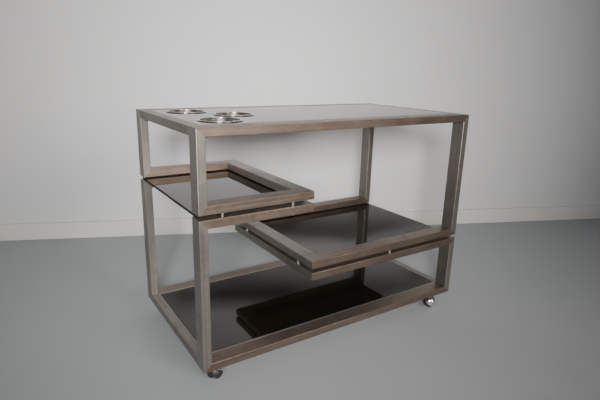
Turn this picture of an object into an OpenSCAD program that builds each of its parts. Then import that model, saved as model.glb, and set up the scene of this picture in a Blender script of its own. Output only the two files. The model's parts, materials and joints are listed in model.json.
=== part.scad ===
// Two-level bar cart: two welded tube half-frames, four smoked panes, bottle rings and ball casters.
// Origin at the middle of the footprint on the floor. X runs along the cart, -Y is its front.

/* [Frame] */
// Overall length of the frame along X
cart_length = 815; // [700:5:1000]
// Overall width of the frame along Y
cart_width = 435; // [420:5:520]
// Height of the two half-frames together, without the casters
frame_height = 550; // [460:5:640]
// Narrow side of the rectangular tube
tube_face = 20; // [18:1:24]
// Broad side of the rectangular tube
tube_depth = 40; // [36:1:44]
// Wall thickness of the tube
tube_wall = 1.5; // [1.2:0.1:2.0]
// Clear slot between the two half-frames
shelf_gap = 10; // [9:0.5:14]
// Length of the high shelf arm at the left end
left_arm = 286; // [240:2:320]

/* [Glass] */
// Thickness of every pane
glass_thickness = 6; // [4:0.5:6]
// How far a shelf pane is set back from the outer faces of its frame
shelf_glass_setback = 18; // [16:1:20]
// Clearance round the flush panes of the top and the base
glass_clearance = 1; // [0.5:0.5:2]

/* [Bottle rings] */
// Inside diameter of a bottle ring
ring_bore = 91; // [84:1:92]
// Outside diameter of the flange of a bottle ring
ring_flange = 101; // [100:1:104]
// Depth of the sleeve of a bottle ring below the glass
ring_depth = 19; // [12:1:19]
// Distance of the front and rear rings from the left end
ring_inset = 100; // [90:2:110]
// Distance of the front and rear rings from the middle line
ring_spread = 106; // [104:1:112]
// How far the middle ring stands to the right of the other two
ring_step = 84; // [78:2:100]

/* [Casters] */
// Diameter of the ball formed by the wheel and its hood
ball_diameter = 38; // [34:1:38]
// Height from the floor to the underside of the frame
caster_height = 42; // [42:1:48]
// Distance of a caster stem from the end of the frame
caster_inset = 51; // [40:1:80]
// Distance from the stem to the middle of the ball
caster_trail = 16; // [15:0.5:17]
// Angle of the wheel axle below the horizontal
axle_tilt = 45; // [40:1:50]
// Turn at which the left casters stand, from straight behind the stem
left_caster_turn = -35; // [-180:5:180]
// Turn at which the right casters stand, from straight behind the stem
right_caster_turn = 15; // [-180:5:180]

/* [Hidden] */
$fn = 96;

// Levels and the split between the two arms
end_x = cart_length / 2;
side_y = cart_width / 2;
base_z = caster_height;
top_z = base_z + frame_height;
arm_rise = (frame_height - shelf_gap) / 3;
right_gap_z = base_z + arm_rise;
left_gap_z = base_z + 2 * arm_rise;
right_arm = cart_length - left_arm;
arm_split_x = left_arm - end_x;

// Panes
pad_thickness = 1.5;
pad_r = 4;
pad_inset = 10;
shelf_edge_inset = 2;
angle_width = 12;
angle_thickness = 3;

// Bottle rings
ring_wall = 1.5;
ring_flange_thickness = 1.2;
ring_hole_gap = 0.5;
ring_hole_r = ring_bore / 2 + ring_wall + ring_hole_gap;
seal_thickness = 0.8;
seal_inset = 0.4;
ring_places = [
    [ring_inset - end_x, -ring_spread],
    [ring_inset - end_x, ring_spread],
    [ring_inset + ring_step - end_x, 0]
];

// Screws and spacers that hold the upper half-frame on the lower one
screw_r = 2;
screw_hole_r = 2.2;
screw_head_r = 4;
screw_head_height = 2.4;
screw_grip = 7;
spacer_r = 4;
spacer_inset = 7;
arm_screw_inset = 55;
end_screw_inset = 73;
left_front_screws = [
    [arm_screw_inset - end_x, spacer_inset - side_y],
    [arm_split_x - arm_screw_inset, spacer_inset - side_y]
];
right_front_screws = [[(arm_split_x + end_x) / 2, spacer_inset - side_y]];
right_end_screws = [
    [arm_split_x + spacer_inset, end_screw_inset - side_y],
    [arm_split_x + spacer_inset, side_y - end_screw_inset]
];
left_screws = concat(left_front_screws, [for (p = left_front_screws) [p[0], -p[1]]]);
right_screws = concat(right_front_screws, [for (p = right_front_screws) [p[0], -p[1]]], right_end_screws);
drain_hole = [left_arm / 2 - end_x, spacer_inset - side_y];

// Casters
ball_r = ball_diameter / 2;
hood_wall = 1.6;
hood_cut = -0.4;
wheel_start = 0.8;
wheel_cap = 15.5;
hub_r = 13;
hub_depth = 5.5;
hub_floor = 1.5;
boss_r = 7.5;
boss_floor = 12.5;
boss_top_gap = 0.7;
axle_r = 3;
axle_boss_r = 5;
axle_boss_inner = 8;
axle_tip = 11;
stem_r = 4;
stem_foot = 13.5;
stem_top_gap = 0.5;
running_gap = 0.05;
socket_r = 6;
socket_flange_r = 9.5;
socket_flange = 1.8;
socket_top_gap = 1.5;
socket_height = tube_face - tube_wall - socket_top_gap;
collar_r = 4.7;
collar_pocket_r = 5;
collar_pocket = 3;
collar_height = 2;
stem_x = end_x - caster_inset;
stem_y = side_y - tube_depth / 2;

steel_colour = "#8d8478";
glass_colour = [0.16, 0.13, 0.11, 0.75];
pin_colour = "silver";

// Runs a front piece to the rear side
module to_rear() { mirror([0, 1, 0]) children(); }

// Runs a left-hand piece to the right end
module to_right() { mirror([1, 0, 0]) children(); }

// Vertical bores at a list of places
module bores(places, r, z0, z1) {
    for (p = places) translate([p[0], p[1], z0]) cylinder(r = r, h = z1 - z0);
}

// Long front rail of the base or the top, mitred into a post at both ends
module long_rail(z, up) {
    tall = up ? tube_face : 0;
    low = up ? 0 : tube_face;
    color(steel_colour) translate([0, -side_y, z]) difference() {
        translate([0, tube_depth, 0]) rotate([90, 0, 0]) linear_extrude(tube_depth)
            polygon([[low - end_x, 0], [end_x - low, 0],
                     [end_x - tall, tube_face], [tall - end_x, tube_face]]);
        translate([-end_x - 1, tube_wall, tube_wall])
            cube([cart_length + 2, tube_depth - 2 * tube_wall, tube_face - 2 * tube_wall]);
    }
}

// Base rail with the holes that take the caster sockets
module base_long_rail() {
    difference() {
        long_rail(base_z, true);
        bores([[-stem_x, -stem_y], [stem_x, -stem_y]], socket_r, base_z - 1, base_z + tube_wall + 1);
    }
}

// Short rail across the left end of the base or the top
module cross_end_rail(z) {
    color(steel_colour) translate([-end_x, tube_depth - side_y, z]) difference() {
        cube([tube_face, cart_width - 2 * tube_depth, tube_face]);
        translate([tube_wall, -1, tube_wall])
            cube([tube_face - 2 * tube_wall, cart_width, tube_face - 2 * tube_wall]);
    }
}

// Front left post between two heights, mitred into a rail at both ends
module post(z0, z1) {
    color(steel_colour) translate([-end_x, -side_y, 0]) difference() {
        translate([0, tube_depth, 0]) rotate([90, 0, 0]) linear_extrude(tube_depth)
            polygon([[0, z0], [tube_face, z0 + tube_face], [tube_face, z1 - tube_face], [0, z1]]);
        translate([tube_wall, tube_wall, z0 - 1])
            cube([tube_face - 2 * tube_wall, tube_depth - 2 * tube_wall, z1 - z0 + 2]);
    }
}

// Front rail of a left-hand shelf arm: a post mitre at the outer end, a flat mitre at the inner end
module arm_side(arm, z, post_above) {
    tall = post_above ? tube_face : 0;
    low = post_above ? 0 : tube_face;
    color(steel_colour) translate([-end_x, -side_y, z]) difference() {
        translate([0, tube_depth, 0]) rotate([90, 0, 0]) linear_extrude(tube_depth)
            polygon([[low, 0], [arm, 0], [arm, tube_face], [tall, tube_face]]);
        translate([-1, tube_wall, tube_wall])
            cube([arm + 2, tube_depth - 2 * tube_wall, tube_face - 2 * tube_wall]);
        translate([0, 0, -1]) linear_extrude(tube_face + 2)
            polygon([[arm, 0], [arm + 1, 0], [arm + 1, tube_depth + 1], [arm - tube_depth, tube_depth + 1],
                     [arm - tube_depth, tube_depth]]);
    }
}

// Free end of a left-hand shelf arm, mitred flat into both side rails
module arm_end(arm, z) {
    inner = arm - tube_depth;
    color(steel_colour) translate([-end_x, -side_y, z]) difference() {
        linear_extrude(tube_face)
            polygon([[arm, 0], [arm, cart_width], [inner, cart_width - tube_depth], [inner, tube_depth]]);
        translate([inner + tube_wall, -1, tube_wall])
            cube([tube_depth - 2 * tube_wall, cart_width + 2, tube_face - 2 * tube_wall]);
    }
}

// Lower half-frame. Right-hand pieces are the left-hand ones turned round, at their own length
module base_front_rail() { base_long_rail(); }
module base_rear_rail() { to_rear() base_long_rail(); }
module base_left_rail() { cross_end_rail(base_z); }
module base_right_rail() { to_right() cross_end_rail(base_z); }
module lower_post_front_left() { post(base_z, left_gap_z); }
module lower_post_rear_left() { to_rear() post(base_z, left_gap_z); }
module lower_post_front_right() { to_right() post(base_z, right_gap_z); }
module lower_post_rear_right() { to_right() to_rear() post(base_z, right_gap_z); }

module lower_left_arm_front() {
    z = left_gap_z - tube_face;
    color(steel_colour) difference() {
        arm_side(left_arm, z, false);
        bores(left_front_screws, screw_hole_r, z - 1, left_gap_z + 1);
        bores([drain_hole], screw_hole_r, left_gap_z - tube_wall - 1, left_gap_z + 1);
    }
}
module lower_left_arm_rear() { to_rear() lower_left_arm_front(); }
module lower_left_arm_end() { arm_end(left_arm, left_gap_z - tube_face); }

module lower_right_arm_front() {
    z = right_gap_z - tube_face;
    color(steel_colour) difference() {
        to_right() arm_side(right_arm, z, false);
        bores(right_front_screws, screw_hole_r, z - 1, right_gap_z + 1);
    }
}
module lower_right_arm_rear() { to_rear() lower_right_arm_front(); }
module lower_right_arm_end() {
    z = right_gap_z - tube_face;
    color(steel_colour) difference() {
        to_right() arm_end(right_arm, z);
        bores(right_end_screws, screw_hole_r, z - 1, right_gap_z + 1);
    }
}

// Upper half-frame
module top_front_rail() { long_rail(top_z - tube_face, false); }
module top_rear_rail() { to_rear() top_front_rail(); }
module top_left_rail() { cross_end_rail(top_z - tube_face); }
module top_right_rail() { to_right() top_left_rail(); }
module upper_post_front_left() { post(left_gap_z + shelf_gap, top_z); }
module upper_post_rear_left() { to_rear() upper_post_front_left(); }
module upper_post_front_right() { to_right() post(right_gap_z + shelf_gap, top_z); }
module upper_post_rear_right() { to_rear() upper_post_front_right(); }

module upper_left_arm_front() {
    z = left_gap_z + shelf_gap;
    color(steel_colour) difference() {
        arm_side(left_arm, z, true);
        bores(left_front_screws, screw_hole_r, z - 1, z + tube_wall + 1);
    }
}
module upper_left_arm_rear() { to_rear() upper_left_arm_front(); }
module upper_left_arm_end() { arm_end(left_arm, left_gap_z + shelf_gap); }

module upper_right_arm_front() {
    z = right_gap_z + shelf_gap;
    color(steel_colour) difference() {
        to_right() arm_side(right_arm, z, true);
        bores(right_front_screws, screw_hole_r, z - 1, z + tube_wall + 1);
    }
}
module upper_right_arm_rear() { to_rear() upper_right_arm_front(); }
module upper_right_arm_end() {
    z = right_gap_z + shelf_gap;
    color(steel_colour) difference() {
        to_right() arm_end(right_arm, z);
        bores(right_end_screws, screw_hole_r, z - 1, z + tube_wall + 1);
    }
}

// Pane that lies flush inside the frame of the top or the base
module flush_pane(z) {
    long = cart_length - 2 * (tube_face + angle_thickness + glass_clearance);
    wide = cart_width - 2 * (tube_depth + angle_thickness + glass_clearance);
    translate([-long / 2, -wide / 2, z - glass_thickness]) cube([long, wide, glass_thickness]);
}
module top_glass() {
    color(glass_colour) difference() {
        flush_pane(top_z);
        bores(ring_places, ring_hole_r, top_z - glass_thickness - 1, top_z + 1);
    }
}
module base_glass() { color(glass_colour) flush_pane(base_z + tube_face); }

// Pane that lies in the slot between the half-frames
module shelf_pane(x0, x1, z) {
    wide = cart_width - 2 * shelf_glass_setback;
    color(glass_colour) translate([x0, -wide / 2, z + pad_thickness])
        cube([x1 - x0, wide, glass_thickness]);
}
module left_shelf_glass() {
    shelf_pane(shelf_edge_inset - end_x, arm_split_x - shelf_glass_setback, left_gap_z);
}
module right_shelf_glass() {
    shelf_pane(arm_split_x + shelf_glass_setback, end_x - shelf_edge_inset, right_gap_z);
}

// Angle inside the frame that carries a flush pane: a foot under the pane and a leg beside it
module ledges(z) {
    long = cart_length - 2 * tube_face;
    wide = cart_width - 2 * tube_depth;
    foot_long = long - 2 * angle_width;
    foot_wide = wide - 2 * angle_width;
    inner_long = long - 2 * angle_thickness;
    inner_wide = wide - 2 * angle_thickness;
    height = glass_thickness + angle_thickness;
    color("#6f685f") translate([0, 0, z - height]) difference() {
        translate([-long / 2, -wide / 2, 0]) cube([long, wide, height]);
        translate([-foot_long / 2, -foot_wide / 2, -1]) cube([foot_long, foot_wide, height + 2]);
        translate([-inner_long / 2, -inner_wide / 2, angle_thickness])
            cube([inner_long, inner_wide, glass_thickness + 1]);
    }
}
module top_glass_ledges() { ledges(top_z); }
module base_glass_ledges() { ledges(base_z + tube_face); }

// Soft discs under the corners and long sides of the shelf panes
module shelf_glass_pads() {
    y = side_y - shelf_glass_setback - pad_inset;
    left_x = [pad_inset - end_x, arm_split_x - shelf_glass_setback - pad_inset];
    right_x = [arm_split_x + shelf_glass_setback + pad_inset, end_x / 4, end_x - pad_inset];
    color("#202020") {
        for (x = left_x, s = [-1, 1])
            translate([x, s * y, left_gap_z]) cylinder(r = pad_r, h = pad_thickness);
        for (x = right_x, s = [-1, 1])
            translate([x, s * y, right_gap_z]) cylinder(r = pad_r, h = pad_thickness);
    }
}

// Flanged sleeve that hangs in a hole of the top glass
module bottle_ring(place) {
    bore_r = ring_bore / 2;
    wall_r = bore_r + ring_wall;
    flange_r = ring_flange / 2;
    flange_z = seal_thickness + ring_flange_thickness;
    color("silver") translate([place[0], place[1], top_z]) rotate_extrude()
        polygon([[bore_r, -ring_depth], [wall_r, -ring_depth], [wall_r, seal_thickness],
                 [flange_r, seal_thickness], [flange_r, flange_z], [bore_r, flange_z]]);
}
module bottle_ring_front() { bottle_ring(ring_places[0]); }
module bottle_ring_rear() { bottle_ring(ring_places[1]); }
module bottle_ring_middle() { bottle_ring(ring_places[2]); }
module bottle_ring_seals() {
    color("#1c1c1c") for (p = ring_places) translate([p[0], p[1], top_z]) difference() {
        cylinder(r = ring_flange / 2 - seal_inset, h = seal_thickness);
        translate([0, 0, -1]) cylinder(r = ring_hole_r, h = seal_thickness + 2);
    }
}

// Sleeves that keep the half-frames apart
module sleeve(p, z) {
    translate([p[0], p[1], z]) difference() {
        cylinder(r = spacer_r, h = shelf_gap);
        translate([0, 0, -1]) cylinder(r = screw_hole_r, h = shelf_gap + 2);
    }
}
module spacer_sleeves() {
    color("gainsboro") {
        for (p = left_screws) sleeve(p, left_gap_z);
        for (p = right_screws) sleeve(p, right_gap_z);
    }
}

// Screws that pass through the lower arm and the sleeve into the upper arm
module long_screw(p, z) {
    translate([p[0], p[1], z - tube_face - screw_head_height]) {
        cylinder(r = screw_head_r, h = screw_head_height);
        cylinder(r = screw_r, h = screw_head_height + tube_face + shelf_gap + screw_grip);
    }
}
module spacer_screws() {
    color(pin_colour) {
        for (p = left_screws) long_screw(p, left_gap_z);
        for (p = right_screws) long_screw(p, right_gap_z);
    }
}

// Flanged sockets in the base rails that the caster stems turn in
module caster_sockets() {
    color("dimgray") for (sx = [-1, 1], sy = [-1, 1])
        translate([sx * stem_x, sy * stem_y, base_z]) difference() {
            union() {
                translate([0, 0, -socket_flange]) cylinder(r = socket_flange_r, h = socket_flange);
                cylinder(r = socket_r, h = socket_height);
            }
            translate([0, 0, -socket_flange - 1])
                cylinder(r = stem_r + running_gap, h = socket_flange + socket_height + 2);
            translate([0, 0, socket_height - collar_pocket])
                cylinder(r = collar_pocket_r, h = collar_pocket + 1);
        }
}

// Mirrors a piece front to rear when asked
module flipped(on) {
    if (on) mirror([0, 1, 0]) children();
    else children();
}

// Places a caster piece drawn about the middle of its ball, at the corner given by two signs.
// Casters come in two hands: the rear ones mirror the front ones, and the left hood faces inwards.
module at_caster(sx, sy) {
    turn = sx < 0 ? left_caster_turn : right_caster_turn;
    flipped(sy > 0) translate([sx * stem_x, -stem_y, 0]) rotate([0, 0, turn])
        flipped(sx < 0) translate([-caster_trail, 0, ball_r]) children();
}

// Turns a piece drawn along +Z onto the tilted wheel axle
module on_axle() { rotate([-90 - axle_tilt, 0, 0]) children(); }

module caster_stem(sx, sy) {
    stem_top = base_z + socket_height - stem_top_gap - ball_r;
    color(pin_colour) at_caster(sx, sy) translate([caster_trail, 0, 0]) {
        translate([0, 0, stem_foot]) cylinder(r = stem_r, h = stem_top - stem_foot);
        translate([0, 0, stem_top - collar_height]) cylinder(r = collar_r, h = collar_height);
    }
}

// Half-ball shell with a boss for the stem outside and a boss for the axle inside
module caster_hood(sx, sy) {
    boss_top = base_z - socket_flange - boss_top_gap - ball_r;
    color("gainsboro") at_caster(sx, sy) difference() {
        union() {
            difference() {
                sphere(r = ball_r);
                on_axle() translate([-ball_r - 1, -ball_r - 1, hood_cut])
                    cube([2 * ball_r + 2, 2 * ball_r + 2, ball_r + 2]);
            }
            translate([caster_trail, 0, boss_floor]) cylinder(r = boss_r, h = boss_top - boss_floor);
        }
        difference() {
            sphere(r = ball_r - hood_wall);
            on_axle() translate([0, 0, -ball_r]) cylinder(r = axle_boss_r, h = ball_r - axle_boss_inner);
        }
        on_axle() translate([0, 0, hood_wall - ball_r]) cylinder(r = axle_r, h = ball_r);
        translate([caster_trail, 0, stem_foot]) cylinder(r = stem_r, h = boss_top);
    }
}

module caster_axle(sx, sy) {
    color(pin_colour) at_caster(sx, sy) on_axle() translate([0, 0, hood_wall - ball_r])
        cylinder(r = axle_r, h = ball_r - hood_wall + axle_tip);
}

// Wheel: the other half of the ball, with a hub that reaches into the hood
module caster_wheel(sx, sy) {
    color("#181818") at_caster(sx, sy) on_axle() difference() {
        union() {
            intersection() {
                sphere(r = ball_r);
                translate([0, 0, wheel_start]) cylinder(r = ball_r + 1, h = wheel_cap - wheel_start);
            }
            translate([0, 0, -hub_depth]) cylinder(r = hub_r, h = hub_depth + wheel_start + 1);
        }
        translate([0, 0, -hub_depth - 1])
            cylinder(r = axle_r + running_gap, h = hub_depth + 1 + axle_tip + hub_floor);
    }
}

module caster_front_left_stem() { caster_stem(-1, -1); }
module caster_front_left_hood() { caster_hood(-1, -1); }
module caster_front_left_axle() { caster_axle(-1, -1); }
module caster_front_left_wheel() { caster_wheel(-1, -1); }
module caster_rear_left_stem() { caster_stem(-1, 1); }
module caster_rear_left_hood() { caster_hood(-1, 1); }
module caster_rear_left_axle() { caster_axle(-1, 1); }
module caster_rear_left_wheel() { caster_wheel(-1, 1); }
module caster_front_right_stem() { caster_stem(1, -1); }
module caster_front_right_hood() { caster_hood(1, -1); }
module caster_front_right_axle() { caster_axle(1, -1); }
module caster_front_right_wheel() { caster_wheel(1, -1); }
module caster_rear_right_stem() { caster_stem(1, 1); }
module caster_rear_right_hood() { caster_hood(1, 1); }
module caster_rear_right_axle() { caster_axle(1, 1); }
module caster_rear_right_wheel() { caster_wheel(1, 1); }

base_front_rail();
base_rear_rail();
base_left_rail();
base_right_rail();
lower_post_front_left();
lower_post_rear_left();
lower_post_front_right();
lower_post_rear_right();
lower_left_arm_front();
lower_left_arm_rear();
lower_left_arm_end();
lower_right_arm_front();
lower_right_arm_rear();
lower_right_arm_end();
top_front_rail();
top_rear_rail();
top_left_rail();
top_right_rail();
upper_post_front_left();
upper_post_rear_left();
upper_post_front_right();
upper_post_rear_right();
upper_left_arm_front();
upper_left_arm_rear();
upper_left_arm_end();
upper_right_arm_front();
upper_right_arm_rear();
upper_right_arm_end();
top_glass();
base_glass();
left_shelf_glass();
right_shelf_glass();
top_glass_ledges();
base_glass_ledges();
shelf_glass_pads();
bottle_ring_front();
bottle_ring_rear();
bottle_ring_middle();
bottle_ring_seals();
spacer_sleeves();
spacer_screws();
caster_sockets();
caster_front_left_stem();
caster_front_left_hood();
caster_front_left_axle();
caster_front_left_wheel();
caster_rear_left_stem();
caster_rear_left_hood();
caster_rear_left_axle();
caster_rear_left_wheel();
caster_front_right_stem();
caster_front_right_hood();
caster_front_right_axle();
caster_front_right_wheel();
caster_rear_right_stem();
caster_rear_right_hood();
caster_rear_right_axle();
caster_rear_right_wheel();
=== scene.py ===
import bpy
import json
import math
from mathutils import Matrix, Quaternion, Vector


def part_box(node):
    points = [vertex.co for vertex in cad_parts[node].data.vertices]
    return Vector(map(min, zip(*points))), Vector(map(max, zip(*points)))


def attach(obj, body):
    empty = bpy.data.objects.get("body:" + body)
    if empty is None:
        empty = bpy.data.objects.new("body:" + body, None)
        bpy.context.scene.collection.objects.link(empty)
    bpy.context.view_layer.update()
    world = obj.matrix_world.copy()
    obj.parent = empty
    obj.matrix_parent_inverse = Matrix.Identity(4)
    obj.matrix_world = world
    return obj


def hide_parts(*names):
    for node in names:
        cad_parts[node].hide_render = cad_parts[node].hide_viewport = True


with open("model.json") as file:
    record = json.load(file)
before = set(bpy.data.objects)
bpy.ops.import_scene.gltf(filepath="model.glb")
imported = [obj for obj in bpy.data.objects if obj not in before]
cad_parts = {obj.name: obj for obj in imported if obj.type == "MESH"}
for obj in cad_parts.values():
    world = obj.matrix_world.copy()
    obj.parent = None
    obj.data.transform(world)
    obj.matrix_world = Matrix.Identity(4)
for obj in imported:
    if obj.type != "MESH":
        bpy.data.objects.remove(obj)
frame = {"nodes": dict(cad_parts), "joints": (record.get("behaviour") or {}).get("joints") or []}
alongX, alongY, alongZ = range(3)


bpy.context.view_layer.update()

# Camera off the front left corner: angles in degrees, lens and sensor in mm
view = {
    "at": (-0.7415, -1.0965, 0.710), "turn": -33.40, "dip": -15.63, "roll": 1.454,
    "lens": 28.47, "sensor": 36,
}


def addCamera():
    data = bpy.data.cameras.new("mainView")
    data.lens = view["lens"]
    data.sensor_width = view["sensor"]
    camera = bpy.data.objects.new("mainView", data)
    bpy.context.scene.collection.objects.link(camera)
    aim = Quaternion((0, 0, 1), math.radians(view["turn"]))
    tip = Quaternion((1, 0, 0), math.radians(90 + view["dip"]))
    lean = Quaternion((0, 0, 1), math.radians(view["roll"]))
    camera.rotation_mode = "QUATERNION"
    camera.rotation_quaternion = aim @ tip @ lean
    camera.location = view["at"]
    bpy.context.scene.camera = camera


addCamera()
print("camera set")


# Shader maths: a socket that can be used in plain expressions
class Value:
    def __init__(self, tree, socket):
        self.tree = tree
        self.socket = socket

    def maths(self, operation, first, second):
        return self.tree.node("ShaderNodeMath", {"operation": operation}, {0: first, 1: second})

    def __add__(self, other):
        return self.maths("ADD", self, other)

    def __sub__(self, other):
        return self.maths("SUBTRACT", self, other)

    def __rsub__(self, other):
        return self.maths("SUBTRACT", other, self)

    def __mul__(self, other):
        return self.maths("MULTIPLY", self, other)

    __radd__ = __add__
    __rmul__ = __mul__


shaderInputs = {
    "colour": "Base Color", "metallic": "Metallic", "roughness": "Roughness", "alpha": "Alpha",
    "ior": "IOR", "specular": "Specular IOR Level", "specularTint": "Specular Tint",
}


class Finish:
    def __init__(self, name):
        self.material = bpy.data.materials.new(name)
        self.material.use_nodes = True
        self.nodes = self.material.node_tree.nodes
        self.links = self.material.node_tree.links
        self.nodes.clear()
        self.shader = self.nodes.new("ShaderNodeBsdfPrincipled")
        self.links.new(self.shader.outputs[0], self.nodes.new("ShaderNodeOutputMaterial").inputs[0])

    # any node: its settings go in first, then the values or links of its sockets
    def node(self, kind, settings=None, inputs=None, output=0):
        made = self.nodes.new(kind)
        for key, value in (settings or {}).items():
            setattr(made, key, value)
        for key, value in (inputs or {}).items():
            self.feed(made.inputs[key], value)
        return Value(self, made.outputs[output])

    def feed(self, socket, value):
        if isinstance(value, Value):
            self.links.new(value.socket, socket)
        elif isinstance(value, tuple) and len(value) == 3 and socket.type == "RGBA":
            socket.default_value = (*value, 1)
        else:
            socket.default_value = value

    def set(self, **values):
        for key, value in values.items():
            self.feed(self.shader.inputs[shaderInputs[key]], value)

    def coords(self, stretch=(1, 1, 1), shift=(0, 0, 0), turn=(0, 0, 0)):
        place = self.node("ShaderNodeTexCoord", output="Object")
        return self.node("ShaderNodeMapping", {"vector_type": "POINT"},
                         {"Vector": place, "Location": shift, "Rotation": turn, "Scale": stretch})

    def noise(self, vector, scale, detail, rough):
        return self.node("ShaderNodeTexNoise", {"noise_dimensions": "3D"},
                         {"Vector": vector, "Scale": scale, "Detail": detail, "Roughness": rough})

    def spread(self, value, low, high):
        return self.node("ShaderNodeMapRange", {"clamp": True},
                         {"Value": value, "From Min": low, "From Max": high})

    # noise cut between two levels, so that it comes in patches
    def patches(self, vector, low, high, **noise):
        return self.spread(self.noise(vector, **noise), low, high)

    def blend(self, share, first, second):
        return self.node("ShaderNodeMix", {"data_type": "RGBA"}, {0: share, 6: first, 7: second}, output=2)

    def bump(self, height, strength, distance):
        self.feed(self.shader.inputs["Normal"], self.node(
            "ShaderNodeBump", inputs={"Height": height, "Strength": strength, "Distance": distance}))


# Satin tube steel. Dark and light tones of rails and arms (along X), ends (along Y) and posts (along Z); rails
# are painted darker and browner and posts lighter, as painted shade and sheen of the grain's reflection
brushed = {
    "tonesShadedByGrain": [
        ((0.132, 0.098, 0.078), (0.250, 0.197, 0.162)),
        ((0.150, 0.134, 0.119), (0.250, 0.230, 0.206)),
        ((0.190, 0.175, 0.157), (0.300, 0.280, 0.254)),
    ],
    # the edge gain brightens eased edges: rubbed wear and a painted highlight
    "edgeWearAndHighlight": (1.12, 1.10, 1.08), "tarnish": (0.10, 0.078, 0.063), "tarnishShare": 0.42,
    "rough": 0.30, "edgeRough": 0.36, "metal": 0.84, "metalWorn": 0.16, "bump": 1.0, "bumpDeep": 0.0003,
    "grainAcross": 1500, "grainAlong": 5, "grain": {"scale": 1.0, "detail": 4, "rough": 0.6},
    "grainLow": 0.3, "grainHigh": 0.7, "grainRough": 0.08, "smudgeRough": 0.10, "mottleRough": 0.05,
    "streakShare": 0.42, "driftShare": 0.22, "mottleShare": 0.22, "grainShare": 0.14,
    "streakAcross": 260, "streakAlong": 3.5,
    "streaks": {"scale": 1.0, "detail": 3, "rough": 0.55, "low": 0.36, "high": 0.64},
    "drift": {"scale": 7.0, "detail": 3, "rough": 0.6, "low": 0.36, "high": 0.66},
    "mottle": {"scale": 95.0, "detail": 4, "rough": 0.65, "low": 0.34, "high": 0.68},
    "smudge": {"scale": 24.0, "detail": 4, "rough": 0.62, "low": 0.52, "high": 0.72},
    "mottleShift": (0.2, 0.4, 0.1), "smudgeShift": (0.3, 0.1, 0.7),
}


def drawnOut(axis, along, across):
    stretch = [across] * 3
    stretch[axis] = along
    return tuple(stretch)


# Fine grain and streaks along one axis, broad tone drift, mottling and handling smudges
def brushedSteel(name, axis, tonesShadedByGrain, rough):
    f = Finish(name)
    grainVector = f.coords(drawnOut(axis, brushed["grainAlong"], brushed["grainAcross"]))
    streakVector = f.coords(drawnOut(axis, brushed["streakAlong"], brushed["streakAcross"]))
    grain = f.noise(grainVector, **brushed["grain"])
    streaks = f.patches(streakVector, **brushed["streaks"])
    drift = f.patches(f.coords(), **brushed["drift"])
    mottle = f.patches(f.coords(shift=brushed["mottleShift"]), **brushed["mottle"])
    smudge = f.patches(f.coords(shift=brushed["smudgeShift"]), **brushed["smudge"])
    fine = f.spread(grain, brushed["grainLow"], brushed["grainHigh"])
    broad = brushed["streakShare"] * streaks + brushed["driftShare"] * drift
    # the two tones differ by grain axis: painted shade and sheen on top of the steel's own satin tone
    satin = f.blend(broad + brushed["mottleShare"] * mottle + brushed["grainShare"] * fine, *tonesShadedByGrain)
    f.set(colour=f.blend(brushed["tarnishShare"] * smudge, satin, brushed["tarnish"]))
    f.set(metallic=brushed["metal"] - brushed["metalWorn"] * smudge)
    worn = brushed["smudgeRough"] * smudge + brushed["mottleRough"] * mottle
    f.set(roughness=rough + brushed["grainRough"] * grain + worn)
    f.bump(grain, brushed["bump"], brushed["bumpDeep"])
    return f.material


# Tones of an edge painted a little brighter: partly rubbed by hands and cloths, partly a painted highlight
# where the rounded edge catches the light
def rubbedAndHighlit(tonesShadedByGrain):
    return tuple(tuple(c * gain for c, gain in zip(tone, brushed["edgeWearAndHighlight"])) for tone in tonesShadedByGrain)


# Ground welds: grit of the disc and blued patches
weld = {
    "dark": (0.27, 0.235, 0.205), "bright": (0.42, 0.385, 0.345), "rough": 0.36, "gritRough": 0.2,
    "grit": {"scale": 900.0, "detail": 4, "rough": 0.7}, "bump": 0.3, "bumpDeep": 0.0002,
    "heat": {"scale": 60.0, "detail": 2, "rough": 0.5, "low": 0.40, "high": 0.65},
}


def groundWeld(name):
    f = Finish(name)
    grit = f.noise(f.coords(), **weld["grit"])
    heat = f.patches(f.coords(), **weld["heat"])
    f.set(colour=f.blend(heat, weld["dark"], weld["bright"]), metallic=1.0)
    f.set(roughness=weld["rough"] + weld["gritRough"] * grit)
    f.bump(grit, weld["bump"], weld["bumpDeep"])
    return f.material


# Smoked bronze panes: dark body, sharp gloss, a little dust and wiping haze
glass = {
    "body": (0.006, 0.005, 0.0035), "hazed": (0.014, 0.011, 0.008), "hazeShare": 0.5, "hazeLeast": 0.1,
    "dusty": (0.26, 0.23, 0.20), "dustShare": 0.05, "clear": 0.06,
    "rough": 0.018, "hazeRough": 0.035, "dustRough": 0.10,
    "ior": 1.46, "specular": 0.36, "specularTint": (0.99, 0.95, 0.85),
    "dust": {"scale": 1400.0, "detail": 2, "rough": 0.6, "low": 0.66, "high": 0.78},
    "haze": {"scale": 1.0, "detail": 4, "rough": 0.6, "low": 0.42, "high": 0.75},
    "wipes": (9, 26, 9), "wipeTurn": (0, 0, 0.5),
}


def smokedGlass(name):
    f = Finish(name)
    dust = f.patches(f.coords(), **glass["dust"])
    haze = f.patches(f.coords(glass["wipes"], turn=glass["wipeTurn"]), **glass["haze"])
    body = f.blend(glass["hazeShare"] * haze + glass["hazeLeast"], glass["body"], glass["hazed"])
    f.set(colour=f.blend(glass["dustShare"] * dust, body, glass["dusty"]))
    f.set(roughness=glass["rough"] + glass["hazeRough"] * haze + glass["dustRough"] * dust)
    f.set(ior=glass["ior"], specular=glass["specular"], specularTint=glass["specularTint"])
    f.set(alpha=1 - glass["clear"])
    return f.material


# Ground edge of a pane, with ripples along it
groundEdge = {
    "dark": (0.003, 0.005, 0.004), "pale": (0.012, 0.015, 0.012), "rough": 0.45, "rippleRough": 0.15,
    "ior": 1.52, "specular": 0.12, "bump": 0.1, "bumpDeep": 0.0002,
    "ripple": {"scale": 1.0, "detail": 3, "rough": 0.5}, "rippleStretch": (40, 40, 900),
}


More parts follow.
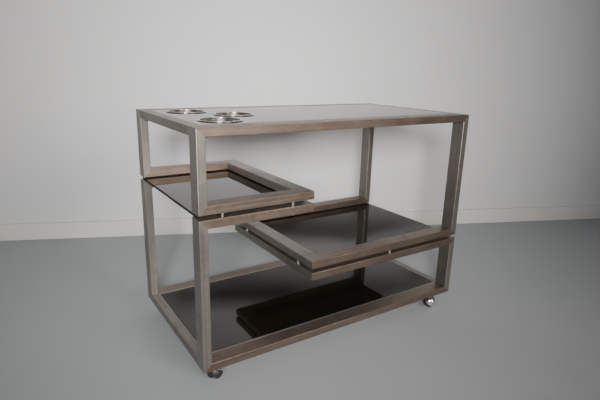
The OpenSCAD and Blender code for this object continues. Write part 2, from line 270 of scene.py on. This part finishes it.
def glassEdge(name):
    f = Finish(name)
    ripple = f.noise(f.coords(groundEdge["rippleStretch"]), **groundEdge["ripple"])
    f.set(colour=f.blend(ripple, groundEdge["dark"], groundEdge["pale"]))
    f.set(roughness=groundEdge["rough"] + groundEdge["rippleRough"] * ripple)
    f.set(ior=groundEdge["ior"], specular=groundEdge["specular"])
    f.bump(ripple, groundEdge["bump"], groundEdge["bumpDeep"])
    return f.material


# Polished metal with swirl marks from wiping
chrome = {
    "ring": (0.60, 0.565, 0.52), "ringRough": 0.15, "hood": (0.86, 0.86, 0.87), "hoodRough": 0.05,
    "swirl": {"scale": 1.0, "detail": 4, "rough": 0.65}, "swirlRough": 0.06,
    "swirlStretch": (120, 120, 900), "swirlTurn": (0.2, 0.1, 0.7),
    "spots": {"scale": 300.0, "detail": 3, "rough": 0.6, "low": 0.60, "high": 0.72},
    "spotGain": 0.62, "spotShare": 0.5, "spotRough": 0.16, "bump": 0.06, "bumpDeep": 0.0001,
}


def polished(name, colour, rough):
    f = Finish(name)
    swirl = f.noise(f.coords(chrome["swirlStretch"], turn=chrome["swirlTurn"]), **chrome["swirl"])
    spots = f.patches(f.coords(), **chrome["spots"])
    spotted = tuple(chrome["spotGain"] * c for c in colour)
    f.set(colour=f.blend(chrome["spotShare"] * spots, colour, spotted), metallic=1.0)
    f.set(roughness=rough + chrome["swirlRough"] * swirl + chrome["spotRough"] * spots)
    f.bump(swirl, chrome["bump"], chrome["bumpDeep"])
    return f.material


# Black rubber with fine pitting and grey scuffs
rubber = {
    "black": (0.014, 0.014, 0.015), "grey": (0.075, 0.070, 0.066), "wheelScuff": 0.5, "padScuff": 0.25,
    "pits": {"scale": 1800.0, "detail": 3, "rough": 0.6}, "scuffStretch": (160, 420, 160),
    "scuffs": {"scale": 1.0, "detail": 4, "rough": 0.65, "low": 0.52, "high": 0.72},
    "rough": 0.42, "scuffRough": 0.25, "pitRough": 0.1, "bump": 0.25, "bumpDeep": 0.0002,
}


def blackRubber(name, scuff):
    f = Finish(name)
    pits = f.noise(f.coords(), **rubber["pits"])
    scuffs = f.patches(f.coords(rubber["scuffStretch"]), **rubber["scuffs"])
    f.set(colour=f.blend(scuff * scuffs, rubber["black"], rubber["grey"]))
    f.set(roughness=rubber["rough"] + rubber["scuffRough"] * scuffs + rubber["pitRough"] * pits)
    f.bump(pits, rubber["bump"], rubber["bumpDeep"])
    return f.material


# Moulded nylon of the ring seals, with flow marks
nylon = {
    "dark": (0.028, 0.027, 0.026), "light": (0.060, 0.058, 0.055), "rough": 0.40, "flowRough": 0.15,
    "flow": {"scale": 90.0, "detail": 4, "rough": 0.6, "low": 0.35, "high": 0.70},
    "skin": {"scale": 2400.0, "detail": 2, "rough": 0.6}, "bump": 0.2, "bumpDeep": 0.0001,
}


def mouldedNylon(name):
    f = Finish(name)
    flow = f.patches(f.coords(), **nylon["flow"])
    skin = f.noise(f.coords(), **nylon["skin"])
    f.set(colour=f.blend(flow, nylon["dark"], nylon["light"]))
    f.set(roughness=nylon["rough"] + nylon["flowRough"] * flow)
    f.bump(skin, nylon["bump"], nylon["bumpDeep"])
    return f.material


# Turned steel of screws, sleeves and pins, and the duller steel of ledges and sockets
turned = {
    "screw": (0.58, 0.57, 0.55), "screwRough": 0.26, "ledge": (0.40, 0.38, 0.35), "ledgeRough": 0.40,
    "rings": {"scale": 1.0, "detail": 2, "rough": 0.5}, "ringStretch": (60, 60, 2600), "ringRough": 0.12,
    "stain": {"scale": 220.0, "detail": 3, "rough": 0.6, "low": 0.50, "high": 0.75},
    "stained": (0.25, 0.22, 0.19), "stainShare": 0.4, "stainRough": 0.15, "bump": 0.15, "bumpDeep": 0.0001,
}


def turnedSteel(name, colour, rough):
    f = Finish(name)
    rings = f.noise(f.coords(turned["ringStretch"]), **turned["rings"])
    stain = f.patches(f.coords(), **turned["stain"])
    f.set(colour=f.blend(turned["stainShare"] * stain, colour, turned["stained"]), metallic=1.0)
    f.set(roughness=rough + turned["ringRough"] * rings + turned["stainRough"] * stain)
    f.bump(rings, turned["bump"], turned["bumpDeep"])
    return f.material


# One steel finish per grain axis, its tones painted darker or lighter as shade and sheen of the grain
shadedSteelAlong = [brushedSteel("tubeSteel" + "XYZ"[i], i, tonesShadedByGrain, brushed["rough"])
              for i, tonesShadedByGrain in enumerate(brushed["tonesShadedByGrain"])]
# the edge finishes are painted brighter: a painted highlight along with rubbed wear
highlitEdgeAlong = [brushedSteel("tubeEdge" + "XYZ"[i], i, rubbedAndHighlit(tonesShadedByGrain), brushed["edgeRough"])
             for i, tonesShadedByGrain in enumerate(brushed["tonesShadedByGrain"])]
weldSteel = groundWeld("groundWeld")
paneGlass = smokedGlass("paneGlass")
paneEdge = glassEdge("glassEdge")
ringChrome = polished("ringChrome", chrome["ring"], chrome["ringRough"])
hoodChrome = polished("hoodChrome", chrome["hood"], chrome["hoodRough"])
wheelRubber = blackRubber("wheelRubber", rubber["wheelScuff"])
softRubber = blackRubber("softRubber", rubber["padScuff"])
sealNylon = mouldedNylon("sealNylon")
screwSteel = turnedSteel("screwSteel", turned["screw"], turned["screwRough"])
ledgeSteel = turnedSteel("ledgeSteel", turned["ledge"], turned["ledgeRough"])
print("finishes ready")


# Modelling helpers
def deselect():
    if bpy.context.object and bpy.context.object.mode != "OBJECT":
        bpy.ops.object.mode_set(mode="OBJECT")
    bpy.ops.object.select_all(action="DESELECT")


def choose(piece):
    deselect()
    piece.select_set(True)
    bpy.context.view_layer.objects.active = piece


def named(name):
    piece = bpy.context.object
    piece.name = name
    piece.data.name = name
    return piece


def settle(piece):
    choose(piece)
    bpy.ops.object.transform_apply(location=True, rotation=True, scale=True)


def edit(piece):
    choose(piece)
    bpy.ops.object.mode_set(mode="EDIT")


def leave():
    bpy.ops.object.mode_set(mode="OBJECT")


def pickAll():
    bpy.ops.mesh.select_all(action="SELECT")


# Selects what passes a test in edit mode; kind is VERT, EDGE or FACE
def pick(piece, kind, test):
    bpy.ops.mesh.select_mode(type=kind)
    bpy.ops.mesh.select_all(action="DESELECT")
    leave()
    mesh = piece.data
    parts = {"VERT": mesh.vertices, "EDGE": mesh.edges, "FACE": mesh.polygons}[kind]
    for part in parts:
        part.select = bool(test(part))
    bpy.ops.object.mode_set(mode="EDIT")


def modify(piece, kind, **settings):
    choose(piece)
    added = piece.modifiers.new(kind.title(), kind)
    for key, value in settings.items():
        setattr(added, key, value)
    bpy.ops.object.modifier_apply(modifier=added.name)


# Rounds the edges that turn by more than an angle
def easeEdges(piece, width, segments, angle, **more):
    modify(piece, "BEVEL", width=width, segments=segments, limit_method="ANGLE",
           angle_limit=math.radians(angle), **more)


# Smooth shading that keeps broad faces flat up to their eased edges
def smooth(piece, angle):
    choose(piece)
    bpy.ops.object.shade_smooth_by_angle(angle=math.radians(angle))
    modify(piece, "WEIGHTED_NORMAL", mode="FACE_AREA", weight=100, keep_sharp=True)


def paint(piece, *materials):
    piece.data.materials.clear()
    for material in materials:
        piece.data.materials.append(material)


def subtract(piece, cutter):
    modify(piece, "BOOLEAN", operation="DIFFERENCE", solver="EXACT", object=cutter)
    bpy.data.objects.remove(cutter)


def unite(piece, other):
    modify(piece, "BOOLEAN", operation="UNION", solver="EXACT", object=other)
    bpy.data.objects.remove(other)


def block(name, low, high):
    deselect()
    bpy.ops.mesh.primitive_cube_add(size=1, location=(low + high) / 2)
    piece = named(name)
    piece.scale = high - low
    settle(piece)
    return piece


def cylinder(name, r, low, high, at=(0, 0), sides=64):
    deselect()
    bpy.ops.mesh.primitive_cylinder_add(vertices=sides, radius=r, depth=high - low,
                                        location=(at[0], at[1], (low + high) / 2))
    piece = named(name)
    settle(piece)
    return piece


# A round of a profile: angles in degrees, from start to stop
def arc(cx, cz, r, start, stop, steps=6):
    turns = [math.radians(start + (stop - start) * i / steps) for i in range(steps + 1)]
    return [(cx + r * math.cos(t), cz + r * math.sin(t)) for t in turns]


mergeGap = 0.000005   # for copies of frame meshes, which are loose triangles
spinGap = 0.00001     # for the seam and poles of turned pieces


# A profile of (radius, height) points spun about Z; a solid's profile is open, from axis to axis
def spun(name, profile, centre=(0, 0, 0), steps=96, closed=True):
    deselect()
    bpy.ops.mesh.primitive_plane_add(size=0.001, location=(0, 0, 0))
    piece = named(name)
    edit(piece)
    bpy.ops.mesh.delete(type="VERT")
    leave()
    mesh = piece.data
    mesh.vertices.add(len(profile))
    for vertex, (r, z) in zip(mesh.vertices, profile):
        vertex.co = (r, 0, z)
    mesh.edges.add(len(profile) - (0 if closed else 1))
    for i, edge in enumerate(mesh.edges):
        edge.vertices = (i, (i + 1) % len(profile))
    edit(piece)
    pickAll()
    bpy.ops.mesh.spin(steps=steps, angle=2 * math.pi, center=(0, 0, 0), axis=(0, 0, 1))
    pickAll()
    bpy.ops.mesh.remove_doubles(threshold=spinGap)
    bpy.ops.mesh.normals_make_consistent(inside=False)
    leave()
    piece.location = centre
    settle(piece)
    return piece


def copied(mesh, name):
    deselect()
    piece = bpy.data.objects.new(name, mesh.copy())
    bpy.context.scene.collection.objects.link(piece)
    piece.data.name = name
    return piece


# A copy with its own mesh, carried by a matrix and applied there
def carried(source, name, matrix):
    piece = copied(source.data, name)
    piece.matrix_world = matrix
    settle(piece)
    edit(piece)
    pickAll()
    bpy.ops.mesh.normals_make_consistent(inside=False)
    leave()
    return piece


# The separate solids of one node, as their boxes, from a passing copy
def solidsOf(node):
    edit(copied(frame["nodes"][node].data, "passingCopy"))
    pickAll()
    bpy.ops.mesh.remove_doubles(threshold=mergeGap)
    bpy.ops.mesh.separate(type="LOOSE")
    leave()
    boxes = []
    for solid in list(bpy.context.selected_objects):
        places = [v.co.copy() for v in solid.data.vertices]
        boxes.append(tuple(Vector(limit(p[i] for p in places) for i in range(3)) for limit in (min, max)))
        bpy.data.objects.remove(solid)
    return sorted(boxes, key=lambda b: (round(b[0].x, 4), round(b[0].y, 4)))


def standFor(piece, body, slotName, *nodes):
    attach(piece, body)
    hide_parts(*nodes)


# Tubes: a block in the node's box, mitred, with rounded corners and a ground weld round each mitre
tube = {
    "face": 0.020, "depth": 0.040, "corner": 0.0016, "cornerSteps": 4, "weld": 0.0003, "weldSteps": 2,
    "near": 0.00001, "straight": 0.98,
}


def isLong(mesh, edge, axis):
    a, b = (mesh.vertices[i].co for i in edge.vertices)
    return abs((a - b).normalized()[axis]) > tube["straight"]


# A mitre draws in one side of an end: it is (end, side's axis, side's sign, amount)
def makeTube(node, axis, mitres):
    low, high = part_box(node)
    near = tube["near"]
    piece = block(node + "_tube", low, high)
    edit(piece)
    for end, side, sign, amount in mitres:
        endAt = (low, high)[end][axis]
        sideAt = (high if sign > 0 else low)[side]
        pick(piece, "VERT", lambda v: abs(v.co[axis] - endAt) < near and abs(v.co[side] - sideAt) < near)
        shift = [0, 0, 0]
        shift[axis] = amount if end == 0 else -amount
        bpy.ops.transform.translate(value=shift)
    pick(piece, "EDGE", lambda e: isLong(piece.data, e, axis))
    leave()
    # the steel of each tube carries the painted shade and sheen of its grain axis
    paint(piece, shadedSteelAlong[axis], highlitEdgeAlong[axis], weldSteel)
    edit(piece)
    # the rounded corners take the edge finish, with its painted highlight and rubbed wear
    bpy.ops.mesh.bevel(offset=tube["corner"], segments=tube["cornerSteps"], affect="EDGES", material=1)
    middle = (low[axis] + high[axis]) / 2
    for end in {mitre[0] for mitre in mitres}:
        pick(piece, "FACE", lambda p: len(p.vertices) > 4 and (p.center[axis] > middle) == bool(end))
        bpy.ops.mesh.bevel(offset=tube["weld"], segments=tube["weldSteps"], affect="EDGES", material=2)
    leave()
    smooth(piece, 30)
    standFor(piece, "frame", "frame_steel", node)


def bothEnds(side, sign, amount):
    return [(0, side, sign, amount), (1, side, sign, amount)]


# Axis and mitres of every tube, by its node
def tubePlan():
    face, depth = tube["face"], tube["depth"]
    plan = {}
    for level, sign in (("base", 1), ("top", -1)):
        for row in ("front", "rear"):
            plan[f"{level}_{row}_rail"] = (alongX, bothEnds(alongZ, sign, face))
        for row in ("left", "right"):
            plan[f"{level}_{row}_rail"] = (alongY, [])
    for half, postSide in (("lower", -1), ("upper", 1)):
        for hand, outer, inward in (("left", 0, 1), ("right", 1, -1)):
            for row, inwardY in (("front", 1), ("rear", -1)):
                plan[f"{half}_post_{row}_{hand}"] = (alongZ, bothEnds(alongX, inward, face))
                mitres = [(outer, alongZ, postSide, face), (1 - outer, alongY, inwardY, depth)]
                plan[f"{half}_{hand}_arm_{row}"] = (alongX, mitres)
            plan[f"{half}_{hand}_arm_end"] = (alongY, bothEnds(alongX, -inward, depth))
    return plan


tubes = tubePlan()
for node, (axis, mitres) in tubes.items():
    makeTube(node, axis, mitres)
print("tubes modelled", len(tubes))


# Panes: a block in the node's box, with ground arrises, and holes where the bottle rings hang
pane = {
    "arris": 0.0007, "arrisSteps": 2, "arrisAngle": 40, "ringGap": 0.0005, "cutterPast": 0.02, "holeSides": 96,
    "upright": 0.9,
}
ring = {
    "bore": 0.0455, "wall": 0.0015, "flange": 0.0505, "seal": 0.0008, "lip": 0.0006, "neck": 0.0004,
    "depth": 0.019,
}


def makePane(node, holes=()):
    low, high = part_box(node)
    piece = block(node + "_pane", low, high)
    r = ring["bore"] + ring["wall"] + pane["ringGap"]
    past = pane["cutterPast"]
    for hole in holes:
        ringLow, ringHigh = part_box(hole)
        at = ((ringLow + ringHigh) / 2).xy
        subtract(piece, cylinder("holeCutter", r, low.z - past, high.z + past, at, pane["holeSides"]))
    paint(piece, paneGlass, paneEdge)
    easeEdges(piece, pane["arris"], pane["arrisSteps"], pane["arrisAngle"], material=1)
    for side in [p for p in piece.data.polygons if abs(p.normal.z) < pane["upright"]]:
        side.material_index = 1
    smooth(piece, 30)
    standFor(piece, "frame", "smoked_glass", node)


makePane("base_glass")
makePane("left_shelf_glass")
makePane("right_shelf_glass")
makePane("top_glass", ["bottle_ring_front", "bottle_ring_rear", "bottle_ring_middle"])
print("panes modelled")


# Bottle rings: a turned sleeve with a rounded flange that stands on its seal
def makeRing(node, paneTop):
    low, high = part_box(node)
    middle = (low + high) / 2
    bore, lip, neck, seal, depth = ring["bore"], ring["lip"], ring["neck"], ring["seal"], ring["depth"]
    outer = bore + ring["wall"]
    flangeTop = high.z - paneTop
    profile = arc(bore + lip, flangeTop - lip, lip, 180, 90)
    profile += arc(ring["flange"] - lip, flangeTop - lip, lip, 90, -90)
    profile += [(outer + neck, seal), (outer, seal - neck)]
    profile += arc(outer - lip, lip - depth, lip, 0, -90)
    profile += arc(bore + lip, lip - depth, lip, -90, -180)
    piece = spun(node + "_turned", profile, (middle.x, middle.y, paneTop))
    paint(piece, ringChrome)
    smooth(piece, 40)
    standFor(piece, "frame", "ring_chrome", node)


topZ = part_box("top_glass")[1].z
for place in ("front", "rear", "middle"):
    makeRing("bottle_ring_" + place, topZ)
print("bottle rings modelled")

# Widths that the edges of copied frame pieces are eased by; angles in degrees
ease = {
    "ledge": 0.0004, "pad": 0.0003, "seal": 0.0002, "sleeve": 0.0004, "socket": 0.0003,
    "pin": 0.0004, "shaft": 0.0003, "steps": 2, "angle": 40, "flat": 2,
}


# A copy of a frame piece, merged, its flat faces joined and its edges eased
def eased(node, name, body, slotName, material, width):
    piece = copied(frame["nodes"][node].data, name)
    edit(piece)
    pickAll()
    bpy.ops.mesh.remove_doubles(threshold=mergeGap)
    pickAll()
    bpy.ops.mesh.dissolve_limited(angle_limit=math.radians(ease["flat"]))
    leave()
    paint(piece, material)
    easeEdges(piece, width, ease["steps"], ease["angle"])
    smooth(piece, 35)
    standFor(piece, body, slotName, node)


eased("top_glass_ledges", "top_ledge_bars", "frame", "ledge_steel", ledgeSteel, ease["ledge"])
eased("base_glass_ledges", "base_ledge_bars", "frame", "ledge_steel", ledgeSteel, ease["ledge"])
eased("shelf_glass_pads", "shelf_pad_discs", "frame", "pad_rubber", softRubber, ease["pad"])
eased("bottle_ring_seals", "ring_seal_washers", "frame", "seal_rubber", sealNylon, ease["seal"])
eased("spacer_sleeves", "spacer_tubes", "frame", "fastener_steel", screwSteel, ease["sleeve"])
eased("caster_sockets", "caster_socket_sleeves", "frame", "socket_steel", ledgeSteel, ease["socket"])
print("eased copies ready")

# Screws with hexagon recesses, turned once from the head up and carried to each spacer
screw = {
    "head": 0.004, "headTall": 0.0024, "headEase": 0.0007, "rim": 0.0002, "shank": 0.002, "tip": 0.0006,
    "hexAcross": 0.0025, "hexDeep": 0.0016, "hexPast": 0.001,
}


def makeScrews(boxes):
    length = boxes[0][1].z - boxes[0][0].z
    head, tall, soft, rim = screw["head"], screw["headTall"], screw["headEase"], screw["rim"]
    shank, tip = screw["shank"], screw["tip"]
    profile = [(0, 0)] + arc(head - soft, soft, soft, -90, 0)
    profile += [(head, tall - rim), (head - rim, tall), (shank, tall)]
    profile += [(shank, length - tip), (shank - tip, length), (0, length)]
    first = spun("screwPattern", profile, steps=48, closed=False)
    hexRadius = screw["hexAcross"] / math.sqrt(3)
    subtract(first, cylinder("hexCutter", hexRadius, -screw["hexPast"], screw["hexDeep"], sides=6))
    paint(first, screwSteel)
    smooth(first, 35)
    for count, (low, high) in enumerate(boxes, 1):
        place = Matrix.Translation(((low.x + high.x) / 2, (low.y + high.y) / 2, low.z))
        standFor(carried(first, f"spacer_bolt_{count}", place), "frame", "fastener_steel", "spacer_screws")
    bpy.data.objects.remove(first)


# Drain hole in the top of each lower left arm, midway between its two screws
drain = {"r": 0.0022, "deep": 0.004, "past": 0.01, "sides": 32}


def drillDrains(boxes):
    leftBoxes = [b for b in boxes if b[0].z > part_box("lower_right_arm_front")[1].z]
    for row, sign in (("front", -1), ("rear", 1)):
        node = "lower_left_arm_" + row
        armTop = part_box(node)[1].z
        first, second = [(low + high) / 2 for low, high in leftBoxes if low.y * sign > 0]
        at = ((first + second) / 2).xy
        low, high = armTop - drain["deep"], armTop + drain["past"]
        arm = bpy.data.objects[node + "_tube"]
        subtract(arm, cylinder("drainCutter", drain["r"], low, high, at, drain["sides"]))
        smooth(arm, 30)


screwBoxes = solidsOf("spacer_screws")
makeScrews(screwBoxes)
drillDrains(screwBoxes)
print("screws modelled, drains drilled")

# Ball casters: hood and wheel are modelled once about the middle of the ball, then carried to each corner.
# Before it is tilted, the wheel side of the axle points up Z and the hood is the half below.
hood = {
    "ball": 0.019, "sides": 80, "wall": 0.0016, "cut": -0.0004, "rim": 0.0004, "rimSteps": 3, "rimAngle": 60,
    "axle": 0.003, "axleBoss": 0.005, "axleBossEnd": -0.008, "axlePast": 0.001,
    "boss": 0.0075, "bossFloor": 0.0125, "bossTop": 0.0205, "bossEase": 0.0012,
    "stem": 0.004, "stemFoot": 0.0135, "stemPast": 0.03,
}
# heights up the axle and radii from it; groove places, width and step in degrees round the ball
wheel = {
    "ball": 0.019, "start": 0.0008, "startEase": 0.0004,
    "cap": 0.0155, "capEase": 0.0003, "capFlare": 0.00005,
    "hub": 0.013, "hubEnd": -0.0055, "hubEase": 0.0006, "bore": 0.00305, "boreEnd": 0.0125,
    "rim": 0.0014, "dish": 0.0007, "dishSlope": 0.0006,
    "rivet": 0.0030, "rivetEase": 0.0004, "rivetFoot": 0.0003, "near": 0.0001,
    "grooves": (11.0, 29.0), "grooveDeep": 0.0005, "grooveWide": 1.6, "grooveFloor": 0.6, "grooveReach": 1.3,
    "step": 1.7, "endGap": 1.0,
}
joints = {j["name"]: j for j in frame["joints"]}
corners = ["front_left", "rear_left", "front_right", "rear_right"]


def jointPlace(name):
    return Vector(joints[name]["pos_m"]), Vector(joints[name]["axis"])


# Ball frame of a corner, X towards the stem and Y to the wheel's side, with the stem's offset and axle's tilt
def ballFrame(corner):
    stem, up = jointPlace(f"swivel_{corner}_turn")
    centre, axle = jointPlace(f"wheel_{corner}_roll")
    ahead = Vector((stem.x - centre.x, stem.y - centre.y, 0))
    side = Vector((axle.x, axle.y, 0)).normalized()
    placed = Matrix((ahead.normalized(), side, up)).transposed().to_4x4()
    placed.translation = centre
    return placed, ahead.length, math.asin(-axle.z)


def layOnAxle(piece, tilt):
    piece.rotation_euler = (-math.pi / 2 - tilt, 0, 0)
    settle(piece)


def makeHood(offset, tilt):
    ball, wall = hood["ball"], hood["wall"]
    deselect()
    bpy.ops.mesh.primitive_uv_sphere_add(segments=hood["sides"], ring_count=hood["sides"] // 2, radius=ball,
                                         location=(0, 0, 0))
    piece = named("hoodPattern")
    edit(piece)
    pickAll()
    bpy.ops.mesh.bisect(plane_co=(0, 0, hood["cut"]), plane_no=(0, 0, 1), clear_outer=True)
    leave()
    modify(piece, "SOLIDIFY", thickness=wall, offset=-1)
    unite(piece, cylinder("axleBoss", hood["axleBoss"], wall / 2 - ball, hood["axleBossEnd"]))
    subtract(piece, cylinder("axleCutter", hood["axle"], wall - ball, hood["axlePast"]))
    easeEdges(piece, hood["rim"], hood["rimSteps"], hood["rimAngle"])
    layOnAxle(piece, tilt)
    boss, floor, top, soft = hood["boss"], hood["bossFloor"], hood["bossTop"], hood["bossEase"]
    profile = [(0, floor)] + arc(boss - 2 * soft, floor + 2 * soft, 2 * soft, -90, 0)
    profile += arc(boss - soft, top - soft, soft, 0, 90) + [(0, top)]
    unite(piece, spun("stemBoss", profile, (offset, 0, 0), steps=64, closed=False))
    subtract(piece, cylinder("stemCutter", hood["stem"], hood["stemFoot"], hood["stemPast"], (offset, 0)))
    paint(piece, hoodChrome)
    smooth(piece, 32)
    return piece


def ballPoint(degrees, sink=0.0):
    turn = math.radians(degrees)
    r = wheel["ball"] - sink
    return (r * math.cos(turn), r * math.sin(turn))


def degreesAt(height):
    return math.degrees(math.asin(height / wheel["ball"]))


# The tread's points round the ball, dipping into each groove
def treadPoints(first, last):
    half, deep = wheel["grooveWide"] / 2, wheel["grooveDeep"]
    floorHalf = half * wheel["grooveFloor"]
    points = []
    turn = first + wheel["endGap"]
    while turn < last - wheel["endGap"]:
        groove = next((g for g in wheel["grooves"] if abs(turn - g) < wheel["grooveReach"]), None)
        if groove is None:
            points.append(ballPoint(turn))
            turn += wheel["step"]
        else:
            points += [ballPoint(groove - half), ballPoint(groove - floorHalf, deep)]
            points += [ballPoint(groove + floorHalf, deep), ballPoint(groove + half)]
            turn = groove + half + wheel["step"]
    return points


def makeWheel(tilt):
    start, cap, hub, hubEnd, soft = (wheel[key] for key in ("start", "cap", "hub", "hubEnd", "hubEase"))
    bore, boreEnd, rim, dish, rivet = (wheel[key] for key in ("bore", "boreEnd", "rim", "dish", "rivet"))
    capEase, rivetEase, rivetFoot = wheel["capEase"], wheel["rivetEase"], rivet + wheel["rivetFoot"]
    first, last = degreesAt(start), degreesAt(cap)
    edgeR = ballPoint(last)[0]
    profile = [(0, boreEnd), (bore, boreEnd), (bore, hubEnd)]
    profile += arc(hub - soft, hubEnd + soft, soft, -90, 0) + [(hub, start)]
    profile += [(ballPoint(first)[0] - wheel["startEase"], start)] + treadPoints(first, last)
    profile += [(edgeR + wheel["capFlare"], cap - capEase), (edgeR - capEase, cap), (edgeR - rim, cap)]
    profile += [(edgeR - rim - wheel["dishSlope"], cap - dish), (rivetFoot, cap - dish)]
    profile += arc(rivet - rivetEase, cap - rivetEase, rivetEase, 0, 90, 3) + [(0, cap)]
    piece = spun("wheelPattern", profile, closed=False)
    paint(piece, wheelRubber, screwSteel)
    for face in piece.data.polygons:
        if face.center.z > cap - dish - wheel["near"] and face.center.xy.length < rivetFoot:
            face.material_index = 1
    layOnAxle(piece, tilt)
    smooth(piece, 35)
    return piece


def makeCasters():
    offset, tilt = ballFrame(corners[0])[1:]
    hoodPattern, wheelPattern = makeHood(offset, tilt), makeWheel(tilt)
    for corner in corners:
        node = "caster_" + corner
        swivel = "swivel_" + corner
        placed = ballFrame(corner)[0]
        shell = carried(hoodPattern, node + "_shell", placed)
        standFor(shell, swivel, "caster_chrome", node + "_hood")
        tyre = carried(wheelPattern, node + "_tyre", placed)
        standFor(tyre, "wheel_" + corner, "wheel_rubber", node + "_wheel")
        eased(node + "_stem", node + "_pin", swivel, "caster_pin_steel", screwSteel, ease["pin"])
        eased(node + "_axle", node + "_shaft", swivel, "caster_pin_steel", screwSteel, ease["shaft"])
    bpy.data.objects.remove(hoodPattern)
    bpy.data.objects.remove(wheelPattern)


makeCasters()
print("casters modelled", len(corners))

# Floor, wall and skirting: the wall stands off the origin along wallFacing
studio = {
    "floor": (0.34, 0.36, 0.37), "wall": (0.60, 0.60, 0.61), "skirting": (0.62, 0.60, 0.57),
    "floorSize": 9, "floorAt": (0, -1.2, 0), "wallSize": 6, "wallAway": 0.7136,
    "wallFacing": Vector((0.3844, 0.9232, 0)),
    "skirtingTall": 0.07, "skirtingDeep": 0.012, "skirtingEase": 0.002,
    "cloud": {"scale": 2.2, "detail": 4, "rough": 0.6}, "grit": {"scale": 140.0, "detail": 3, "rough": 0.6},
    "darker": 0.93, "lighter": 1.05, "rough": 0.6, "cloudRough": 0.15, "bump": 0.05, "bumpDeep": 0.001,
    "sky": (0.45, 0.46, 0.48), "skyStrength": 0.25,
}
lamps = {
    "nearSoft": {"at": (-1.12, -1.66, 0.98), "aim": (0.13, 0.42, 0.60), "size": (0.40, 0.32),
                 "power": 14.8, "colour": (1.0, 0.985, 0.965), "spread": 68},
    "frontPanel": {"at": (0.55, -3.2, 1.3), "aim": (-0.1, 0.0, 0.4), "size": (1.1, 1.1),
                   "power": 8, "colour": (1.0, 0.90, 0.80), "spread": 60},
    "overheadSoft": {"at": (-0.2, -0.4, 2.6), "aim": (0.0, 0.1, 0.3), "size": (1.5, 1.1),
                     "power": 3, "colour": (0.93, 0.97, 1.0), "spread": 180},
}


def matteSurface(name, colour):
    f = Finish(name)
    cloud = f.noise(f.coords(), **studio["cloud"])
    grit = f.noise(f.coords(), **studio["grit"])
    dark, light = (tuple(gain * c for c in colour) for gain in (studio["darker"], studio["lighter"]))
    f.set(colour=f.blend(cloud, dark, light))
    f.set(roughness=studio["rough"] + studio["cloudRough"] * cloud)
    f.bump(grit, studio["bump"], studio["bumpDeep"])
    return f.material


def addStage():
    facing, away = studio["wallFacing"], studio["wallAway"]
    wallSize, deep, tall = studio["wallSize"], studio["skirtingDeep"], studio["skirtingTall"]
    turn = math.atan2(-facing.x, facing.y)
    deselect()
    bpy.ops.mesh.primitive_plane_add(size=studio["floorSize"], location=studio["floorAt"])
    floor = named("studioFloor")
    settle(floor)
    paint(floor, matteSurface("floorPaint", studio["floor"]))
    bpy.ops.mesh.primitive_plane_add(size=wallSize, location=facing * away + Vector((0, 0, wallSize / 2)),
                                     rotation=(math.radians(90), 0, turn))
    wall = named("studioWall")
    settle(wall)
    paint(wall, matteSurface("wallPaint", studio["wall"]))
    bpy.ops.mesh.primitive_cube_add(size=1, location=facing * (away - deep / 2) + Vector((0, 0, tall / 2)),
                                    rotation=(0, 0, turn))
    skirting = named("studioSkirting")
    skirting.scale = (wallSize, deep, tall)
    settle(skirting)
    easeEdges(skirting, studio["skirtingEase"], 2, 60)
    paint(skirting, matteSurface("skirtingPaint", studio["skirting"]))


def addLamp(name, at, aim, size, power, colour, spread):
    data = bpy.data.lights.new(name, "AREA")
    data.shape = "RECTANGLE"
    data.spread = math.radians(spread)
    data.size, data.size_y = size
    data.energy = power
    data.color = colour
    lamp = bpy.data.objects.new(name, data)
    bpy.context.scene.collection.objects.link(lamp)
    lamp.location = at
    lamp.rotation_mode = "QUATERNION"
    lamp.rotation_quaternion = (Vector(aim) - Vector(at)).to_track_quat("-Z", "Y")


def addSky():
    world = bpy.data.worlds.new("studioAir")
    bpy.context.scene.world = world
    world.use_nodes = True
    background = world.node_tree.nodes["Background"]
    background.inputs["Color"].default_value = (*studio["sky"], 1)
    background.inputs["Strength"].default_value = studio["skyStrength"]


addStage()
addSky()
for name, settings in lamps.items():
    addLamp(name, **settings)
print("studio ready")
